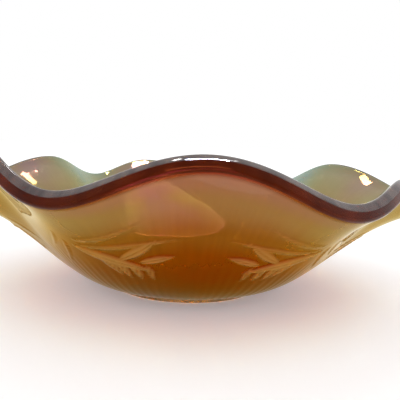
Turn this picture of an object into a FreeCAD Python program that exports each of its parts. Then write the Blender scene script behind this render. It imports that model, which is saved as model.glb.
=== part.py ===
import FreeCAD, Part
import math
import os

# A ruffled bowl of pressed carnival glass.  Millimetres, +Z up; the origin is on the table,
# under the centre of the foot, and -Y is the front.
# The real bowl is one pressing.  It is divided here where its press tools meet it: the foot
# ring, the well floor, the bowl wall and the rim band, each touching the next face to face.

# Foot and floor
foot_radius = 38.5
foot_width = 5.0
foot_height = 2.2
foot_rounding = 0.8
floor_thickness = 5.5
floor_dish = 1.2
centre_radius = 13.0

# Outline of the outer skin, from the foot up to the rim, before ruffling
rim_radius = 110.0
rim_height = 53.0
foot_slope = 10.5
foot_pull = 31.5
rim_slope = 34.0
rim_pull = 47.5

# Glass thickness
wall_thickness = 4.4
rim_thickness = 7.0
rim_crown = 2.2
rim_band_share = 0.94

# Ruffles, pulled by hand and so uneven: where each crest or dip of the rim lies, in degrees
# from the front towards +X, how far it rises, and how far it reaches outward
ruffle_growth = 2.3
ruffles = (
    (3, 10.5, 1.0), (34, -6.5, -1.5),
    (58, 1.5, -3.5), (82, -11.0, 4.0),
    (119, 4.5, -3.5), (151, -14.5, 2.0),
    (197, 2.0, 0.0), (216, -9.0, 2.0),
    (239, 4.5, -4.5), (275, -11.5, 4.0),
    (303, 14.5, -3.0), (334, -4.0, -2.5))

# How finely the skins are drawn
columns = 60
wall_rings = 11
band_rings = 4
crown_rings = 7
dish_rings = 5


def outline(share):
    """Radius and height of the outer skin, share 0 at the foot and 1 at the rim."""
    near = math.radians(foot_slope)
    far = math.radians(rim_slope)
    radii = (foot_radius,
             foot_radius + foot_pull * math.cos(near),
             rim_radius - rim_pull * math.cos(far),
             rim_radius)
    heights = (foot_height,
               foot_height + foot_pull * math.sin(near),
               rim_height - rim_pull * math.sin(far),
               rim_height)
    rest = 1.0 - share
    weights = (rest ** 3, 3 * rest ** 2 * share, 3 * rest * share ** 2, share ** 3)
    radius = sum(w * r for w, r in zip(weights, radii))
    height = sum(w * h for w, h in zip(weights, heights))
    return radius, height


def ruffle(angle):
    """Rise and reach of the rim at an angle round the bowl, eased between turning points."""
    first = ruffles[0]
    degrees = (math.degrees(angle) - first[0]) % 360.0 + first[0]
    after_last = (first[0] + 360,) + first[1:]
    for start, end in zip(ruffles, ruffles[1:] + (after_last,)):
        if degrees <= end[0]:
            break
    ease = 0.5 - 0.5 * math.cos(math.pi * (degrees - start[0]) / (end[0] - start[0]))
    rise, reach = (a + (b - a) * ease for a, b in zip(start[1:], end[1:]))
    return rise, reach


def outer_point(angle, share):
    radius, height = outline(share)
    run = max(0.0, (radius - foot_radius) / (rim_radius - foot_radius))
    weight = run ** ruffle_growth
    rise, reach = ruffle(angle)
    radius += weight * reach
    height += weight * rise
    return FreeCAD.Vector(radius * math.sin(angle), -radius * math.cos(angle), height)


def frame_at(angle, share):
    """Unit vectors into the bowl and up the wall, at a point of the outer skin."""
    nudge = 1e-4
    low = max(share - nudge, 0.0)
    up = outer_point(angle, low + nudge) - outer_point(angle, low)
    along = outer_point(angle + nudge, share) - outer_point(angle - nudge, share)
    inward = up.cross(along)
    if inward.z < 0:
        inward = inward.negative()
    return inward.normalize(), up.normalize()


def thickness(share):
    """Glass thickness, heavy at the foot, lighter in the wall, thicker again at the rim."""
    foot_part = (floor_thickness - wall_thickness) * (1.0 - share) ** 3
    rim_part = (rim_thickness - wall_thickness) * share ** 6
    return wall_thickness + foot_part + rim_part


def ring(share, depth, crown=0.0):
    """Points round the bowl; depth 0 is the outer skin and 1 the inner skin."""
    points = []
    for column in range(columns):
        angle = 2 * math.pi * column / columns
        inward, up = frame_at(angle, share)
        point = outer_point(angle, share) + inward * (depth * thickness(share)) + up * crown
        points.append(point)
    return points


def skin(rings):
    """A smooth face through closed rings of points."""
    places = [float(i) for i in range(columns + 1)]
    rows = []
    for points in rings:
        curve = Part.BSplineCurve()
        curve.interpolate(Points=points, PeriodicFlag=True, Parameters=places)
        rows.append(curve)
    columns_of_poles = []
    steps = [float(i) for i in range(len(rings))]
    for poles in zip(*[row.getPoles() for row in rows]):
        curve = Part.BSplineCurve()
        curve.interpolate(Points=list(poles), Parameters=steps)
        columns_of_poles.append(curve)
    surface = Part.BSplineSurface()
    surface.buildFromPolesMultsKnots(
        [curve.getPoles() for curve in columns_of_poles],
        rows[0].getMultiplicities(), columns_of_poles[0].getMultiplicities(),
        rows[0].getKnots(), columns_of_poles[0].getKnots(),
        True, False, rows[0].Degree, columns_of_poles[0].Degree)
    return surface.toShape()


def solid_from(faces):
    joined = Part.Compound(faces)
    joined.sewShape()
    solid = Part.Solid(Part.Shell(joined.Faces))
    if solid.Volume < 0:
        solid.reverse()
    return solid


def wall_skin(depth, first, last, count):
    shares = [first + (last - first) * i / (count - 1) for i in range(count)]
    return skin([ring(share, depth) for share in shares])


def parting(share):
    """The face where one zone of the pressing meets the next."""
    return skin([ring(share, 0.0), ring(share, 1.0)])


def bowl_wall():
    return solid_from([
        wall_skin(0.0, 0.0, rim_band_share, wall_rings),
        wall_skin(1.0, 0.0, rim_band_share, wall_rings),
        parting(0.0),
        parting(rim_band_share)])


def rim_band():
    crown = []
    for i in range(crown_rings):
        turn = math.pi * i / (crown_rings - 1)
        crown.append(ring(1.0, 0.5 - 0.5 * math.cos(turn), rim_crown * math.sin(turn)))
    return solid_from([
        wall_skin(0.0, rim_band_share, 1.0, band_rings),
        wall_skin(1.0, rim_band_share, 1.0, band_rings),
        skin(crown),
        parting(rim_band_share)])


def level_ring(radius, height):
    """Points round a level circle, set out like the rings of the wall."""
    turns = [2 * math.pi * column / columns for column in range(columns)]
    return [FreeCAD.Vector(radius * math.sin(t), -radius * math.cos(t), height) for t in turns]


def disc(edge):
    return Part.Face(Part.Wire([edge]))


def lowest_edge(face):
    return min(face.Edges, key=lambda edge: edge.BoundBox.ZMax)


def well_floor():
    """Flat underneath; dished on top, down to a level disc in the centre."""
    foot_edge = ring(0.0, 1.0)
    edge_radius = math.hypot(foot_edge[0].x, foot_edge[0].y)
    edge_height = foot_edge[0].z
    dish = [foot_edge]
    for i in range(1, dish_rings):
        run = i / (dish_rings - 1)
        radius = edge_radius + (centre_radius - edge_radius) * run
        dish.append(level_ring(radius, edge_height - floor_dish * math.sin(run * math.pi / 2)))
    side = parting(0.0)
    top = skin(dish)
    return solid_from([side, top, disc(lowest_edge(side)), disc(lowest_edge(top))])


def foot_ring():
    inside = foot_radius - foot_width
    body = Part.makeCylinder(foot_radius, foot_height).cut(Part.makeCylinder(inside, foot_height))
    lower = [edge for edge in body.Edges
             if edge.BoundBox.ZMax < 1e-6 and len(edge.Vertexes) == 1]
    return body.makeFillet(foot_rounding, lower)


def write(name, shape):
    solid = shape.Solids[0] if shape.Solids else shape
    solid.exportStep(os.path.join("parts", name + ".step"))
    print(name, "valid", solid.isValid(), "volume", round(solid.Volume))


os.makedirs("parts", exist_ok=True)
write("foot_ring", foot_ring())
write("well_floor", well_floor())
write("bowl_wall", bowl_wall())
write("rim_band", rim_band())
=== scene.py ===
import math

import bmesh
import bpy
import numpy as np
from mathutils import Matrix, Vector


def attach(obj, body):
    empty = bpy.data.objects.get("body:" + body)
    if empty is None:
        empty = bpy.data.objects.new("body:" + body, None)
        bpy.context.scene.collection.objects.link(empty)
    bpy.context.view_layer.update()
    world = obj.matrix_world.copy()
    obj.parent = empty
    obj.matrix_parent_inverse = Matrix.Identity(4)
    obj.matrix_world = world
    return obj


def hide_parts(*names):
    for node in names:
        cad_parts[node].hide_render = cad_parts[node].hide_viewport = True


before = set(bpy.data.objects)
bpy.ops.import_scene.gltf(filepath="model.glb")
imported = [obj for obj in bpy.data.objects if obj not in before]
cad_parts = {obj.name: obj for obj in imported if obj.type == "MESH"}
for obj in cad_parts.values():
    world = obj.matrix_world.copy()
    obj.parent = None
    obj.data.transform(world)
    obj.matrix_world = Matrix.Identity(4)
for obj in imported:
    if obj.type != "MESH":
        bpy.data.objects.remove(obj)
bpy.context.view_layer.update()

# A ruffled bowl of pressed carnival glass, seen from the front and a little above its rim.
# Sizes are in millimetres until finish_piece turns them to metres.  An angle round the bowl is
# counted from the front (-Y) towards +X.  A point of the glass is given by its angle, by its
# share of the way from the foot (0) to the rim (1), and by its depth from the outer skin (0)
# to the inner skin (1).

MM = 0.001

# Foot and floor
foot_radius = 38.5
foot_width = 5.0
foot_height = 2.2
foot_rounding = 0.8
floor_thickness = 5.5
floor_dish = 1.2
under_dome = 0.5

# Outline of the outer skin, before ruffling
rim_radius = 110.0
rim_height = 53.0
foot_slope = 10.5
foot_pull = 31.5
rim_slope = 34.0
rim_pull = 47.5

# Glass thickness
wall_thickness = 4.4
rim_thickness = 7.0
rim_band_share = 0.94

# The fire-polished edge: its height at the outer skin, at its ridge and at the inner skin,
# where across the glass the ridge lies, how softly its two faces meet, and how tight its
# corners are
crown_outer = 1.15
crown_ridge = 2.0
crown_inner = 0.85
ridge_depth = 0.5
ridge_rounding = 0.16
corner_tightness = 9

# Ruffles: angle of each crest or dip, its rise and its outward reach
ruffle_growth = 2.3
ruffles = (
    (3, 10.5, 1.0), (34, -6.5, -1.5),
    (58, 1.5, -3.5), (82, -11.0, 4.0),
    (119, 4.5, -3.5), (151, -14.5, 2.0),
    (197, 2.0, 0.0), (216, -9.0, 2.0),
    (239, 4.5, -4.5), (275, -11.5, 4.0),
    (303, 14.5, -3.0), (334, -4.0, -2.5))

# Relief pressed into the outer skin: how far up the wall each spray lies, and how many degrees
# it is turned from its dip of the rim.  The wall's length up its slope turns shares into sizes.
# The ribs are drawn a little coarser than real ones, so that the mesh can hold their shape.
spray_share = 0.66
spray_offset = 7.0
wall_length = 92.0
rib_count = 108
rib_height = 0.1

# Patterns in the glass and its film: how wide and long a streak is, and how wide a cloud of the
# film is.  A streak is as wide as given where the wall's radius is mid_radius.
mid_radius = 80.0
broad_streak = (9.0, 83.0)
fine_streak = (1.8, 50.0)
film_cloud = 45.0

# How finely the pieces are drawn
columns = 540
outer_cuts = 124
inner_cuts = 44
band_cuts = 9
crown_cuts = 26
join_cuts = 2
under_cuts = 12
seat_cuts = 3
dish_cuts = 90
foot_side_cuts = 2
foot_sole_cuts = 4
rounding_cuts = 6

# Material slots of every piece: the outside is 0, the inside follows it, the crown's outer and
# upper faces are next in the same order, and the clear join comes last
inside_slot = 1
crown_slots = 2
join_slot = 4


# ---------------------------------------------------------------- the shape of the glass

def outline(share):
    """Radius and height of the outer skin before ruffling."""
    near = math.radians(foot_slope)
    far = math.radians(rim_slope)
    radii = (foot_radius,
             foot_radius + foot_pull * math.cos(near),
             rim_radius - rim_pull * math.cos(far),
             rim_radius)
    heights = (foot_height,
               foot_height + foot_pull * math.sin(near),
               rim_height - rim_pull * math.sin(far),
               rim_height)
    rest = 1.0 - share
    weights = (rest ** 3, 3 * rest ** 2 * share, 3 * rest * share ** 2, share ** 3)
    radius = sum(w * r for w, r in zip(weights, radii))
    height = sum(w * h for w, h in zip(weights, heights))
    return radius, height


def ruffle(angle):
    """Rise and reach of the rim, eased between turning points."""
    places = np.array([r[0] for r in ruffles] + [ruffles[0][0] + 360.0])
    rises = np.array([r[1] for r in ruffles] + [ruffles[0][1]])
    reaches = np.array([r[2] for r in ruffles] + [ruffles[0][2]])
    degrees = (np.degrees(angle) - places[0]) % 360.0 + places[0]
    step = np.clip(np.searchsorted(places, degrees, side="right") - 1, 0, len(ruffles) - 1)
    run = (degrees - places[step]) / (places[step + 1] - places[step])
    ease = 0.5 - 0.5 * np.cos(np.pi * run)
    rise = rises[step] + (rises[step + 1] - rises[step]) * ease
    reach = reaches[step] + (reaches[step + 1] - reaches[step]) * ease
    return rise, reach


def around(radius, angle, height):
    """Points at an angle round the bowl."""
    return np.stack([radius * np.sin(angle), -radius * np.cos(angle), height], axis=-1)


def outer_point(angle, share):
    """Points of the ruffled outer skin."""
    radius, height = outline(share)
    run = np.clip((radius - foot_radius) / (rim_radius - foot_radius), 0.0, None)
    weight = run ** ruffle_growth
    rise, reach = ruffle(angle)
    return around(radius + weight * reach, angle, height + weight * rise)


def unit(vectors):
    """The same directions, one long."""
    return vectors / np.linalg.norm(vectors, axis=-1, keepdims=True)


def frame_at(angle, share):
    """Unit vectors into the bowl and up the wall, at points of the outer skin."""
    nudge = 1e-4
    low = np.maximum(share - nudge, 0.0)
    up = outer_point(angle, low + nudge) - outer_point(angle, low)
    along = outer_point(angle + nudge, share) - outer_point(angle - nudge, share)
    inward = np.cross(up, along)
    inward *= np.sign(inward[:, 2:3])
    return unit(inward), unit(up)


def thickness(share):
    """Glass thickness, heavy at the foot, lighter in the wall, thicker again at the rim."""
    foot_part = (floor_thickness - wall_thickness) * (1.0 - share) ** 3
    rim_part = (rim_thickness - wall_thickness) * share ** 6
    return wall_thickness + foot_part + rim_part


def crown(depth):
    """How far the fire-polished edge stands beyond the wall's end, across its thickness.

    Two nearly flat faces meet in a soft ridge, and both of its corners are rounded over."""
    outer_face = crown_outer + (crown_ridge - crown_outer) * depth / ridge_depth
    fall = (crown_ridge - crown_inner) * (depth - ridge_depth) / (1.0 - ridge_depth)
    upper_face = crown_ridge - fall
    roof = -ridge_rounding * np.logaddexp(-outer_face / ridge_rounding,
                                          -upper_face / ridge_rounding)
    corners = (1.0 - np.abs(2.0 * depth - 1.0) ** corner_tightness) ** 0.5
    return roof * corners


# ---------------------------------------------------------------- relief pressed into the glass

def smooth(low, high, value):
    """Eases from 0 at low to 1 at high."""
    run = np.clip((value - low) / (high - low), 0.0, 1.0)
    return run * run * (3.0 - 2.0 * run)


def blade(across, along, base, turn, length, width, bend, height):
    """One leaf: a rounded blade with a sunk midrib, on a stem line that curves."""
    x = across - base[0]
    y = along - base[1]
    c = math.cos(math.radians(turn))
    s = math.sin(math.radians(turn))
    forward = x * s + y * c
    side = x * c - y * s - bend * (forward / length) ** 2
    run = np.clip(forward / length, 0.0, 1.0)
    half = width * np.sin(np.pi * run ** 0.75) + 1e-3
    inside = np.clip(1.0 - (side / half) ** 2, 0.0, 1.0) * (forward > 0) * (forward < length)
    midrib = 1.0 - 0.55 * np.exp(-(side / 0.35) ** 2)
    return height * np.sqrt(inside) * midrib


def spray(across, along):
    """A generic spray lying along the wall: broad leaves and long blades.

    Each leaf has its base, across and along; its turn in degrees; its length, half width and
    bend; and its height."""
    leaves = (
        (-17.0, 8.0, 118.0, 36.0, 3.4, 2.5, 0.8),
        (-15.0, 9.0, 96.0, 42.0, 1.5, -4.0, 0.55),
        (-16.0, 12.0, 84.0, 34.0, 1.3, -3.0, 0.45),
        (-8.0, 4.0, 150.0, 19.0, 2.0, 2.5, 0.7),
        (-2.0, 1.0, 158.0, 18.0, 1.9, 2.5, 0.7),
        (4.0, -2.0, 164.0, 16.0, 1.8, 2.0, 0.7),
        (10.0, -5.0, 170.0, 13.0, 1.6, 1.5, 0.6),
        (1.0, 0.0, 66.0, 20.0, 2.6, -1.5, 0.75),
        (8.0, -3.0, 84.0, 15.0, 2.2, -1.0, 0.75),
        (-22.0, 9.0, 190.0, 26.0, 1.1, 4.0, 0.5),
        (-26.0, 12.0, 205.0, 24.0, 1.0, 4.0, 0.45))
    raised = np.zeros_like(across)
    for x, y, turn, length, width, bend, height in leaves:
        leaf = blade(across, along, (x, y), turn, length, width, bend, height)
        raised = np.maximum(raised, leaf)
    return raised


def outer_relief(angle, share):
    """Raised millimetres on the outer skin: a spray by each dip, and fine ribs."""
    radius, _ = outline(share)
    along = (share - spray_share) * wall_length
    raised = np.zeros_like(angle)
    for order, place in enumerate(r[0] for r in ruffles[1::2]):
        hand = -1.0 if order % 2 else 1.0
        centre = math.radians(place - hand * spray_offset)
        turn = (angle - centre + np.pi) % (2 * np.pi) - np.pi
        raised = np.maximum(raised, spray(-hand * turn * radius, along))
    ribs = rib_height * (0.5 + 0.5 * np.cos(angle * rib_count))
    ribs *= smooth(0.08, 0.16, share) * (1.0 - smooth(0.52, 0.66, share))
    return np.maximum(raised, ribs)


def wave(angle, share):
    """The slight unevenness that hand finishing leaves in the inner skin."""
    return (0.05 * np.sin(7 * angle + 3.1 * share) * share
            + 0.035 * np.sin(17 * angle - 5.0 * share + 1.3)
            + 0.03 * np.sin(29 * angle + 9.0 * share + 0.4) * share)


# ---------------------------------------------------------------- building the pieces

def finish_piece(name, corners, cuts, shaper, is_join, nodes):
    """Wraps a fine grid round the bowl: its rows run along a plain section, given by corners.

    The shaper turns the section's plain radius and height, with the angle, into millimetres.
    Points that come to the same place are merged, which closes the seam and the poles.
    A join is a face that only closes the piece against its neighbour."""
    rows = sum(cuts)
    bm = bmesh.new()
    bmesh.ops.create_grid(bm, x_segments=columns, y_segments=rows, size=0.5)
    mesh = bpy.data.meshes.new(name)
    bm.to_mesh(mesh)
    bm.free()
    plain = np.empty(len(mesh.vertices) * 3)
    mesh.vertices.foreach_get("co", plain)
    plain = plain.reshape(-1, 3)
    angle = 2 * math.pi * np.round((plain[:, 0] + 0.5) * columns) / columns % (2 * math.pi)
    row = np.round((plain[:, 1] + 0.5) * rows)
    marks = np.concatenate([[0], np.cumsum(cuts)])
    radius = np.interp(row, marks, [c[0] for c in corners])
    height = np.interp(row, marks, [c[1] for c in corners])
    joined = is_join(radius, height)
    placed, share, depth, raised = shaper(radius, height, angle)
    mesh.vertices.foreach_set("co", (placed * MM).ravel())

    loop_verts = np.empty(len(mesh.loops), dtype=np.int32)
    mesh.loops.foreach_get("vertex_index", loop_verts)
    starts = np.empty(len(mesh.polygons), dtype=np.int32)
    mesh.polygons.foreach_get("loop_start", starts)
    on_inner = np.maximum.reduceat(depth[loop_verts], starts) > 0.5
    on_crown = np.minimum.reduceat(share[loop_verts], starts) > 0.9999
    on_join = np.logical_and.reduceat(joined[loop_verts], starts)
    slots = np.where(on_join, join_slot, inside_slot * on_inner + crown_slots * on_crown)
    mesh.polygons.foreach_set("material_index", slots)
    mesh.polygons.foreach_set("use_smooth", np.ones(len(starts), dtype=bool))
    for key, values in (("share", share), ("raised", raised)):
        layer = mesh.attributes.new(key, "FLOAT", "POINT")
        layer.data.foreach_set("value", values.astype(np.float32))

    bm = bmesh.new()
    bm.from_mesh(mesh)
    bmesh.ops.remove_doubles(bm, verts=bm.verts[:], dist=1e-7)
    bmesh.ops.recalc_face_normals(bm, faces=bm.faces[:])
    for edge in bm.edges:
        edge.smooth = len({face.material_index == join_slot for face in edge.link_faces}) == 1
    bm.to_mesh(mesh)
    bm.free()
    piece = bpy.data.objects.new(name, mesh)
    bpy.context.scene.collection.objects.link(piece)
    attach(piece, "root")
    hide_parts(*nodes)
    return piece


def glass_points(share, depth, angle, raised):
    """Places on the wall or the rim, with relief and waviness worked in."""
    inward, up = frame_at(angle, share)
    beyond = np.where(share > 0.9999, crown(np.clip(depth, 0.0, 1.0)), 0.0)
    away_from_joins = (1.0 - smooth(0.9, 0.97, share)) * smooth(0.0, 0.1, share)
    lift = depth * thickness(share) - raised
    lift += np.where(depth > 0.9999, wave(angle, share) * away_from_joins, 0.0)
    return outer_point(angle, share) + inward * lift[:, None] + up * beyond[:, None]


def wall_shaper(radius, height, angle):
    """The wall and the rim: their plain section has radius 1 + share, and height as depth."""
    share = radius - 1.0
    raised = np.where(height < 1e-4, outer_relief(angle, share), 0.0)
    return glass_points(share, height, angle, raised), share, height, raised


def bowl_wall():
    top = 1.0 + rim_band_share
    corners = ((1.0, 0.0), (top, 0.0), (top, 1.0), (1.0, 1.0), (1.0, 0.0))
    return finish_piece("pressed_bowl_wall", corners,
                        (outer_cuts, join_cuts, inner_cuts, join_cuts), wall_shaper,
                        lambda radius, height: (radius < 1.0 + 1e-6) | (radius > top - 1e-6),
                        ["bowl_wall"])


def rim_band():
    low = 1.0 + rim_band_share
    corners = ((low, 0.0), (2.0, 0.0), (2.0, 1.0), (low, 1.0), (low, 0.0))
    return finish_piece("polished_rim_band", corners,
                        (band_cuts, crown_cuts, band_cuts, join_cuts), wall_shaper,
                        lambda radius, height: radius < low + 1e-6,
                        ["rim_band"])


def medallion(radius, angle):
    """A round centre ornament: a raised ring and an eight-petal rosette with a hub."""
    ring = 0.55 * np.exp(-((radius - 12.5) / 0.7) ** 2)
    petal = np.abs(np.cos(4 * angle)) ** 0.6
    tips = 1.0 - smooth(9.0, 10.5, radius / (0.6 + 0.4 * petal))
    petals = 0.5 * smooth(1.5, 4.0, radius) * tips
    hub = 0.5 * (1.0 - smooth(1.0, 2.2, radius))
    return np.maximum(np.maximum(ring, petals * petal), hub)


def floor_shaper(radius, height, angle):
    """The floor: its plain section has the real radius, and height 0 below and 1 above."""
    inward, _ = frame_at(angle, np.zeros_like(angle))
    edge = outer_point(angle, np.zeros_like(angle)) + inward * floor_thickness
    edge_radius = np.hypot(edge[:, 0], edge[:, 1])
    run = radius / foot_radius
    bend = math.tan(math.radians(foot_slope)) * edge_radius / floor_dish
    top = edge[:, 2] - floor_dish * (1.0 - run ** bend) + medallion(radius, angle)
    inside = foot_radius - foot_width
    under = foot_height + under_dome * (1.0 - np.minimum(radius / inside, 1.0) ** 2)
    out = radius + (edge_radius - foot_radius) * run * height
    none = np.zeros_like(radius)
    return around(out, angle, under + (top - under) * height), none, height, none


def well_floor():
    inside = foot_radius - foot_width
    corners = ((0.0, 0.0), (inside, 0.0), (foot_radius, 0.0), (foot_radius, 1.0), (0.0, 1.0))

    def is_join(radius, height):
        side = radius > foot_radius - 1e-6
        return side | ((radius > inside - 1e-6) & (height < 1e-6))

    return finish_piece("pressed_well_floor", corners,
                        (under_cuts, seat_cuts, join_cuts, dish_cuts), floor_shaper,
                        is_join, ["well_floor"])


def foot_shaper(radius, height, angle):
    """The foot: its plain section is its real one."""
    none = np.zeros_like(radius)
    return around(radius, angle, height), none, none, none


def foot_ring():
    inside = foot_radius - foot_width
    corners = [(inside, foot_height)]
    for centre, start in ((inside + foot_rounding, 180), (foot_radius - foot_rounding, 270)):
        for step in range(rounding_cuts + 1):
            turn = math.radians(start + 90 / rounding_cuts * step)
            corners.append((centre + foot_rounding * math.cos(turn),
                            foot_rounding + foot_rounding * math.sin(turn)))
    corners += [(foot_radius, foot_height), (inside, foot_height)]
    rounding = [1] * rounding_cuts
    cuts = ([foot_side_cuts] + rounding + [foot_sole_cuts] + rounding
            + [foot_side_cuts, foot_sole_cuts])
    return finish_piece("pressed_foot_ring", corners, cuts, foot_shaper,
                        lambda radius, height: height > foot_height - 1e-6,
                        ["foot_ring"])


# ---------------------------------------------------------------- materials

def colour(text):
    """Linear colour from an sRGB hex value."""
    channels = [int(text[i:i + 2], 16) / 255 for i in (1, 3, 5)]
    return [c / 12.92 if c <= 0.04045 else ((c + 0.055) / 1.055) ** 2.4 for c in channels] + [1.0]


def node(tree, kind, settings, links):
    """Adds a node.  Settings are its properties and its inputs' values, and links are its inputs'
    sources, each by the input's name, or by its number where several inputs share a name."""
    made = tree.nodes.new(kind)
    for key, value in settings.items():
        if isinstance(key, str) and hasattr(made, key):
            setattr(made, key, value)
        else:
            made.inputs[key].default_value = value
    for key, source in links.items():
        tree.links.new(source, made.inputs[key])
    return made


def new_material(name):
    made = bpy.data.materials.new(name)
    made.use_nodes = True
    made.node_tree.nodes.clear()
    return made, made.node_tree


def film(tree, thinnest, thickest):
    """Thickness in nanometres of the sprayed film, which settles in soft clouds."""
    place_at = node(tree, "ShaderNodeTexCoord", {}, {}).outputs["Object"]
    clouds = node(tree, "ShaderNodeTexNoise",
                  {"Scale": 1 / (film_cloud * MM), "Detail": 3.0, "Roughness": 0.5},
                  {"Vector": place_at})
    spread = node(tree, "ShaderNodeMapRange",
                  {"From Min": 0.3, "From Max": 0.7, "To Min": thinnest, "To Max": thickest},
                  {"Value": clouds.outputs["Fac"]})
    return spread.outputs["Result"]


def streaks(tree, width, length):
    """Soft radial streaks, where the hot glass was drawn out as it was pressed.

    The noise runs up the wall, and a streak is as wide as asked at mid_radius."""
    place_at = node(tree, "ShaderNodeTexCoord", {}, {}).outputs["Object"]
    level = node(tree, "ShaderNodeVectorMath", {"operation": "MULTIPLY", 1: (1, 1, 0)},
                 {0: place_at})
    heading = node(tree, "ShaderNodeVectorMath", {"operation": "NORMALIZE"},
                   {0: level.outputs[0]})
    wide = node(tree, "ShaderNodeVectorMath",
                {"operation": "SCALE", "Scale": mid_radius / width}, {0: heading.outputs[0]})
    drawn = node(tree, "ShaderNodeVectorMath",
                 {"operation": "MULTIPLY_ADD", 1: [1 / (length * MM)] * 3},
                 {0: place_at, 2: wide.outputs[0]})
    noise = node(tree, "ShaderNodeTexNoise", {"Scale": 1.0, "Detail": 2.0},
                 {"Vector": drawn.outputs[0]})
    return noise.outputs["Fac"]


def filmed_glass(name, tints, milky, film_range, shader):
    """Tinted glass under a sprayed film.

    The tints run from the foot to the rim.  Milky is how much light the glass scatters, first at
    the foot and then at the rim.  Fine streaks darken it low down, and raised relief is painted
    paler, as a painted highlight along its ridges."""
    made, tree = new_material(name)
    share = node(tree, "ShaderNodeAttribute", {"attribute_name": "share"}, {}).outputs["Fac"]
    raised = node(tree, "ShaderNodeAttribute", {"attribute_name": "raised"}, {}).outputs["Fac"]
    below_rim = node(tree, "ShaderNodeMath", {"operation": "SUBTRACT", 0: 1.0}, {1: share})
    wander = node(tree, "ShaderNodeMapRange", {"To Min": -0.09, "To Max": 0.09},
                  {"Value": streaks(tree, *broad_streak)})
    shifted = node(tree, "ShaderNodeMath", {"operation": "MULTIPLY_ADD"},
                   {0: wander.outputs[0], 1: below_rim.outputs[0], 2: share})
    tint = node(tree, "ShaderNodeValToRGB", {}, {"Fac": shifted.outputs[0]})
    tint.color_ramp.interpolation = "EASE"
    stops = tint.color_ramp.elements
    while len(stops) < len(tints):
        stops.new(0.5)
    for stop, (position, text) in zip(stops, tints):
        stop.position = position
        stop.color = colour(text)
    drawn = node(tree, "ShaderNodeMapRange", {"From Min": 0.35, "From Max": 0.7, "To Max": 0.45},
                 {"Value": streaks(tree, *fine_streak)})
    lines = node(tree, "ShaderNodeMath", {"operation": "MULTIPLY"},
                 {0: drawn.outputs[0], 1: below_rim.outputs[0]})
    deeper = node(tree, "ShaderNodeMix", {"data_type": "RGBA", 7: colour("#3a0c00")},
                  {0: lines.outputs[0], 6: tint.outputs[0]})
    # Painted highlight: the raised relief is painted paler, towards #b98d4e.
    ridge_highlight = node(tree, "ShaderNodeMapRange", {"From Min": 0.12, "From Max": 0.8, "To Max": 0.8},
                {"Value": raised})
    highlighted_relief = node(tree, "ShaderNodeMix", {"data_type": "RGBA", 7: colour("#b98d4e")},
                  {0: ridge_highlight.outputs[0], 6: deeper.outputs[2]})
    clear = node(tree, "ShaderNodeMapRange", {"To Min": 1.0 - milky[0], "To Max": 1.0 - milky[1]},
                 {"Value": share})
    skin = node(tree, "ShaderNodeBsdfPrincipled", shader,
                {"Base Color": highlighted_relief.outputs[2], "Transmission Weight": clear.outputs[0],
                 "Thin Film Thickness": film(tree, *film_range)})
    node(tree, "ShaderNodeOutputMaterial", {}, {"Surface": skin.outputs[0]})
    return made


def bare_glass(name, shades, streak, roughness, shader):
    """Glass without the film: two shades and two polishes drift into each other in streaks."""
    made, tree = new_material(name)
    drift = node(tree, "ShaderNodeMapRange", {"From Min": 0.38, "From Max": 0.62},
                 {"Value": streaks(tree, *streak)})
    mixed = node(tree, "ShaderNodeMix",
                 {"data_type": "RGBA", 6: colour(shades[0]), 7: colour(shades[1])},
                 {0: drift.outputs[0]})
    polish = node(tree, "ShaderNodeMapRange",
                  {"To Min": 0.6 * roughness, "To Max": 1.4 * roughness},
                  {"Value": drift.outputs[0]})
    skin = node(tree, "ShaderNodeBsdfPrincipled", shader,
                {"Base Color": mixed.outputs[2], "Roughness": polish.outputs[0]})
    node(tree, "ShaderNodeOutputMaterial", {}, {"Surface": skin.outputs[0]})
    return made


# Real glass has an IOR of 1.5.  The wall's is lower, because at 1.5 the pale floor mirrored in
# it hides the amber, and it is the same on both skins, so that the wall doesn't act as a lens.
wall_ior = 1.2


def wall_outside():
    """Deep milky amber at the foot, paler and clearer gold to the rim, under a thin warm film."""
    tints = ((0.0, "#440a00"), (0.3, "#521000"), (0.5, "#641a00"), (0.64, "#702c00"),
             (0.78, "#785018"), (0.92, "#8c7848"), (0.982, "#8f7058"), (1.0, "#5c2010"))
    return filmed_glass("marigold carnival glass, pressed, satin film outside",
                        tints, (0.9, 0.7), (318.0, 344.0),
                        {"IOR": wall_ior, "Thin Film IOR": 1.57, "Roughness": 0.03,
                         "Specular IOR Level": 0.2, "Specular Tint": colour("#e07830")})


def wall_inside():
    """Inside, the film lies thicker: smoky grey-green at the rim, with soft clouds of pink."""
    tints = ((0.0, "#480e00"), (0.3, "#5c1c00"), (0.5, "#7c420c"), (0.66, "#86703f"),
             (0.82, "#8c8e7a"), (1.0, "#949c90"))
    return filmed_glass("marigold carnival glass, pressed, satin film inside",
                        tints, (0.6, 0.55), (335.0, 400.0),
                        {"IOR": wall_ior, "Thin Film IOR": 1.45, "Roughness": 0.035})


def rim_outside():
    """The edge, melted smooth over a flame: no film, dark and glossy, redder in places."""
    return bare_glass("marigold carnival glass, fire-polished edge, outer face",
                      ("#3e0e04", "#5e1c0a"), (14.0, 60.0), 0.03,
                      {"IOR": 1.4, "Transmission Weight": 1.0 - 0.55,
                       "Specular Tint": colour("#d06030")})


def rim_inside():
    """The same edge from above: its grey is a painted reflection of the sky,
    with soft light and dark streaks.
    """
    # The grey shades are a painted reflection of the sky.
    return bare_glass("marigold carnival glass, fire-polished edge, upper face",
                      ("#3c2626", "#63504c"), (5.0, 25.0), 0.04,
                      {"IOR": 1.55, "Transmission Weight": 1.0 - 0.6})


def foot_highlight_glass():
    """The bare base glass of the foot, a little cloudy and ground flat to stand on.  Its pale
    honey colour is a painted highlight, so that the foot's thin edge shows as a bright line.
    """
    # The pale honey shades are a painted highlight on the foot.
    return bare_glass("marigold carnival glass, pressed foot, ground and polished",
                      ("#d0b070", "#e0c890"), (6.0, 40.0), 0.06,
                      {"IOR": 1.5, "Transmission Weight": 1.0 - 0.35})


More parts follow.
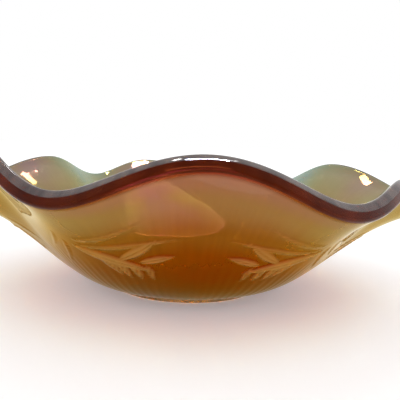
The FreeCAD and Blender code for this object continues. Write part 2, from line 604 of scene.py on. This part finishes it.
def clear_join():
    """Where two zones of one pressing meet there is no surface, so light goes straight on."""
    made, tree = new_material("continuous glass, clear join")
    clear = node(tree, "ShaderNodeBsdfTransparent", {}, {})
    node(tree, "ShaderNodeOutputMaterial", {}, {"Surface": clear.outputs[0]})
    return made


# ---------------------------------------------------------------- stage, light and camera

def stage_floor():
    """A pale floor that runs far back, so that it meets the white surroundings unseen.

    It glows a little, so that the bowl's own shadow stays light."""
    bm = bmesh.new()
    bmesh.ops.create_grid(bm, x_segments=1, y_segments=1, size=60.0)
    mesh = bpy.data.meshes.new("stage_floor")
    bm.to_mesh(mesh)
    bm.free()
    floor = bpy.data.objects.new("stage_floor", mesh)
    bpy.context.scene.collection.objects.link(floor)
    made, tree = new_material("matt white studio paper")
    paper = node(tree, "ShaderNodeBsdfPrincipled",
                 {"Base Color": colour("#fafafa"), "Roughness": 1.0, "Specular IOR Level": 0.0,
                  "Emission Color": colour("#ffffff"), "Emission Strength": 0.22}, {})
    node(tree, "ShaderNodeOutputMaterial", {}, {"Surface": paper.outputs[0]})
    mesh.materials.append(made)


def area_light(name, at, aim, width, height, power, tint="#ffffff"):
    """A soft light that shows in the glass but doesn't light the matt floor directly."""
    data = bpy.data.lights.new(name, "AREA")
    data.shape = "RECTANGLE"
    data.size = width
    data.size_y = height
    data.energy = power
    data.color = colour(tint)[:3]
    lamp = bpy.data.objects.new(name, data)
    lamp.location = at
    towards = Vector(aim) - Vector(at)
    lamp.rotation_euler = towards.to_track_quat("-Z", "Y").to_euler()
    lamp.visible_diffuse = False
    bpy.context.scene.collection.objects.link(lamp)


def window_light():
    """A window overhead: its dim pane, one brighter pane and the bright edges of its frame."""
    centre = (0.06, 0.06)
    for name, across, back, width, height, power in (
            ("window_pane", 0.0, 0.0, 0.46, 0.26, 16.0),
            ("window_bright_pane", -0.16, 0.0, 0.14, 0.22, 60.0),
            ("window_front_edge", 0.0, -0.13, 0.46, 0.03, 40.0),
            ("window_back_edge", 0.0, 0.13, 0.46, 0.03, 40.0),
            ("window_end_edge", 0.24, 0.0, 0.03, 0.26, 24.0)):
        over = (centre[0] + across, centre[1] + back)
        area_light(name, (*over, 1.0), (*over, 0.0), width, height, power, "#c4d4ff")


def accent_lights():
    """Two small lights that glint on the back ruffles, and a strip that runs along the rim."""
    area_light("right_ruffle_glint", (-0.24, 0.40, 0.95), (0.1, 0.03, 0.06), 0.1, 0.05, 0.5)
    area_light("left_ruffle_glint", (0.32, 0.37, 0.95), (-0.1, 0.03, 0.06), 0.03, 0.12, 0.3)
    area_light("front_strip", (0.0, -1.0, 1.0), (0.0, 0.0, 0.06), 1.2, 0.22, 9.0)


def world_light():
    """Even white light from all round."""
    world = bpy.data.worlds.new("soft studio")
    bpy.context.scene.world = world
    world.use_nodes = True
    tree = world.node_tree
    tree.nodes.clear()
    back = node(tree, "ShaderNodeBackground", {"Color": colour("#ffffff"), "Strength": 1.0}, {})
    node(tree, "ShaderNodeOutputWorld", {}, {"Surface": back.outputs[0]})


def camera():
    """Low and close in front, looking a little down, with a small shift to frame the bowl."""
    place = (0.0, -0.2599, 0.0708)
    look_down = math.radians(6.05)
    roll = math.radians(1.65)
    data = bpy.data.cameras.new("camera")
    data.sensor_width = 36.0
    data.lens = 45.03
    data.shift_x = 0.030
    data.clip_start = 0.01
    data.clip_end = 50.0
    cam = bpy.data.objects.new("camera", data)
    turn = Matrix.Rotation(math.pi / 2 - look_down, 4, "X") @ Matrix.Rotation(roll, 4, "Z")
    cam.matrix_world = Matrix.Translation(place) @ turn
    bpy.context.scene.collection.objects.link(cam)
    bpy.context.scene.camera = cam


camera()
world_light()
stage_floor()
window_light()
accent_lights()

outside = wall_outside()
shared = (wall_inside(), rim_outside(), rim_inside())
# The foot's pale glass is a painted highlight.
foot = foot_highlight_glass()
join = clear_join()
for piece, first in ((bowl_wall(), outside), (rim_band(), outside),
                     (well_floor(), outside), (foot_ring(), foot)):
    for finish in (first, *shared, join):
        piece.data.materials.append(finish)

bpy.context.scene.view_settings.view_transform = "Standard"
